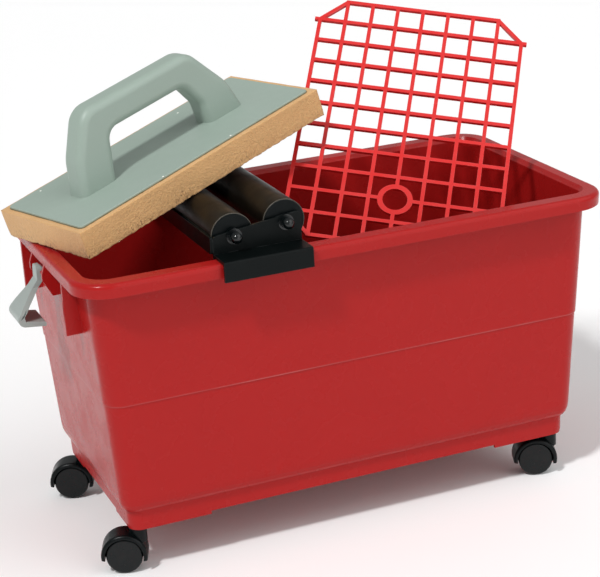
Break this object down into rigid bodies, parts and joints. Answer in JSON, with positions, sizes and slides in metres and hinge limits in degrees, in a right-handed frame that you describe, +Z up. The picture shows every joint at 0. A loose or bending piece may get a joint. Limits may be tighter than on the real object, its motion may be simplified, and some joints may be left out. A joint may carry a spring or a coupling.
{
  "type": "tile washing bucket with wringer, float and grid",
  "caption": "Long washing tub on swivelling castors with a hook-on roller wringer, a lift-out sediment grid, fold-out end grips and a sponge float resting on the rim.",
  "frame": {"origin": "on the floor, under the middle of the tub", "axes": "+X along the tub away from the wringer, +Y across the tub away from its front long wall, +Z up"},
  "size_m": [0.6766, 0.354, 0.538],
  "materials": {
    "red_tub": "glossy moulded plastic",
    "red_grid": "satin moulded plastic",
    "sponge": "coarse open foam",
    "pale_grey_plastic": "satin moulded plastic",
    "grey_plastic": "satin moulded plastic",
    "black_plastic": "satin black",
    "black_wheel": "satin black",
    "black_nut": "glossy black caps",
    "black_steel": "satin black powder coat",
    "dark_roller": "smooth dark brown-black",
    "steel": "zinc plated"
  },
  "bodies": {
    "tub": {"tub": "red_tub", "tub_rim": "red_tub", "tub_plinth": "red_tub", "castor_front_left_stem": "steel", "castor_front_left_bush": "black_plastic", "castor_rear_left_stem": "steel", "castor_rear_left_bush": "black_plastic", "castor_front_right_stem": "steel", "castor_front_right_bush": "black_plastic", "castor_rear_right_stem": "steel", "castor_rear_right_bush": "black_plastic", "end_grip_pin_left": "red_tub", "end_grip_pin_right": "red_tub"},
    "castor_front_left": {"castor_front_left_housing": "black_plastic", "castor_front_left_axle": "steel"},
    "castor_front_left_wheel_a": {"castor_front_left_wheel_a": "black_wheel"},
    "castor_front_left_wheel_b": {"castor_front_left_wheel_b": "black_wheel"},
    "castor_rear_left": {"castor_rear_left_housing": "black_plastic", "castor_rear_left_axle": "steel"},
    "castor_rear_left_wheel_a": {"castor_rear_left_wheel_a": "black_wheel"},
    "castor_rear_left_wheel_b": {"castor_rear_left_wheel_b": "black_wheel"},
    "castor_front_right": {"castor_front_right_housing": "black_plastic", "castor_front_right_axle": "steel"},
    "castor_front_right_wheel_a": {"castor_front_right_wheel_a": "black_wheel"},
    "castor_front_right_wheel_b": {"castor_front_right_wheel_b": "black_wheel"},
    "castor_rear_right": {"castor_rear_right_housing": "black_plastic", "castor_rear_right_axle": "steel"},
    "castor_rear_right_wheel_a": {"castor_rear_right_wheel_a": "black_wheel"},
    "castor_rear_right_wheel_b": {"castor_rear_right_wheel_b": "black_wheel"},
    "end_grip_left": {"end_grip_left": "grey_plastic"},
    "end_grip_right": {"end_grip_right": "grey_plastic"},
    "wringer": {"wringer_bracket_front": "black_steel", "wringer_bracket_rear": "black_steel", "wringer_strip_left": "black_steel", "wringer_rail_right": "black_steel", "roller_left_rod": "steel", "roller_right_rod": "steel", "wringer_dome_nuts": "black_nut", "wringer_washers": "black_nut", "wringer_spacers": "black_plastic"},
    "roller_left": {"roller_left_tube": "dark_roller", "roller_left_cap_front": "black_plastic", "roller_left_cap_rear": "black_plastic"},
    "roller_right": {"roller_right_tube": "dark_roller", "roller_right_cap_front": "black_plastic", "roller_right_cap_rear": "black_plastic"},
    "float": {"float_board": "pale_grey_plastic", "float_handle": "pale_grey_plastic", "float_handle_screws": "steel", "float_sponge": "sponge"},
    "grid": {"sediment_grid": "red_grid"}
  },
  "joints": [
    {"name": "castor_front_left_swivel", "type": "hinge", "parent": "tub", "child": "castor_front_left", "pos_m": [-0.253, -0.107, 0.045], "axis": [0, 0, 1], "continuous": true},
    {"name": "castor_front_left_wheel_a_spin", "type": "hinge", "parent": "castor_front_left", "child": "castor_front_left_wheel_a", "pos_m": [-0.2684, -0.10109, 0.02], "axis": [0.3584, 0.9336, 0], "continuous": true},
    {"name": "castor_front_left_wheel_b_spin", "type": "hinge", "parent": "castor_front_left", "child": "castor_front_left_wheel_b", "pos_m": [-0.2684, -0.10109, 0.02], "axis": [0.3584, 0.9336, 0], "continuous": true},
    {"name": "castor_rear_left_swivel", "type": "hinge", "parent": "tub", "child": "castor_rear_left", "pos_m": [-0.253, 0.107, 0.045], "axis": [0, 0, 1], "continuous": true},
    {"name": "castor_rear_left_wheel_a_spin", "type": "hinge", "parent": "castor_rear_left", "child": "castor_rear_left_wheel_a", "pos_m": [-0.2684, 0.11291, 0.02], "axis": [0.3584, 0.9336, 0], "continuous": true},
    {"name": "castor_rear_left_wheel_b_spin", "type": "hinge", "parent": "castor_rear_left", "child": "castor_rear_left_wheel_b", "pos_m": [-0.2684, 0.11291, 0.02], "axis": [0.3584, 0.9336, 0], "continuous": true},
    {"name": "castor_front_right_swivel", "type": "hinge", "parent": "tub", "child": "castor_front_right", "pos_m": [0.253, -0.107, 0.045], "axis": [0, 0, 1], "continuous": true},
    {"name": "castor_front_right_wheel_a_spin", "type": "hinge", "parent": "castor_front_right", "child": "castor_front_right_wheel_a", "pos_m": [0.2376, -0.10109, 0.02], "axis": [0.3584, 0.9336, 0], "continuous": true},
    {"name": "castor_front_right_wheel_b_spin", "type": "hinge", "parent": "castor_front_right", "child": "castor_front_right_wheel_b", "pos_m": [0.2376, -0.10109, 0.02], "axis": [0.3584, 0.9336, 0], "continuous": true},
    {"name": "castor_rear_right_swivel", "type": "hinge", "parent": "tub", "child": "castor_rear_right", "pos_m": [0.253, 0.107, 0.045], "axis": [0, 0, 1], "continuous": true},
    {"name": "castor_rear_right_wheel_a_spin", "type": "hinge", "parent": "castor_rear_right", "child": "castor_rear_right_wheel_a", "pos_m": [0.2376, 0.11291, 0.02], "axis": [0.3584, 0.9336, 0], "continuous": true},
    {"name": "castor_rear_right_wheel_b_spin", "type": "hinge", "parent": "castor_rear_right", "child": "castor_rear_right_wheel_b", "pos_m": [0.2376, 0.11291, 0.02], "axis": [0.3584, 0.9336, 0], "continuous": true},
    {"name": "end_grip_left_hinge", "type": "hinge", "parent": "tub", "child": "end_grip_left", "pos_m": [-0.3045, 0, 0.322], "axis": [0, 1, 0], "range_deg": [0, 90]},
    {"name": "end_grip_right_hinge", "type": "hinge", "parent": "tub", "child": "end_grip_right", "pos_m": [0.3045, 0, 0.322], "axis": [0, -1, 0], "range_deg": [0, 90]},
    {"name": "wringer_lift", "type": "slide", "parent": "tub", "child": "wringer", "axis": [0, 0, 1], "range_m": [0, 0.25]},
    {"name": "roller_left_spin", "type": "hinge", "parent": "wringer", "child": "roller_left", "pos_m": [-0.1305, 0, 0.3686], "axis": [0, 1, 0], "continuous": true},
    {"name": "roller_right_spin", "type": "hinge", "parent": "wringer", "child": "roller_right", "pos_m": [-0.0725, 0, 0.3742], "axis": [0, 1, 0], "continuous": true},
    {"name": "float_lift", "type": "slide", "parent": "wringer", "child": "float", "axis": [0, 0, 1], "range_m": [0, 0.2]},
    {"name": "grid_lift", "type": "slide", "parent": "tub", "child": "grid", "axis": [0.4588, 0.6197, 0.6367], "range_m": [0, 0.2]}
  ]
}
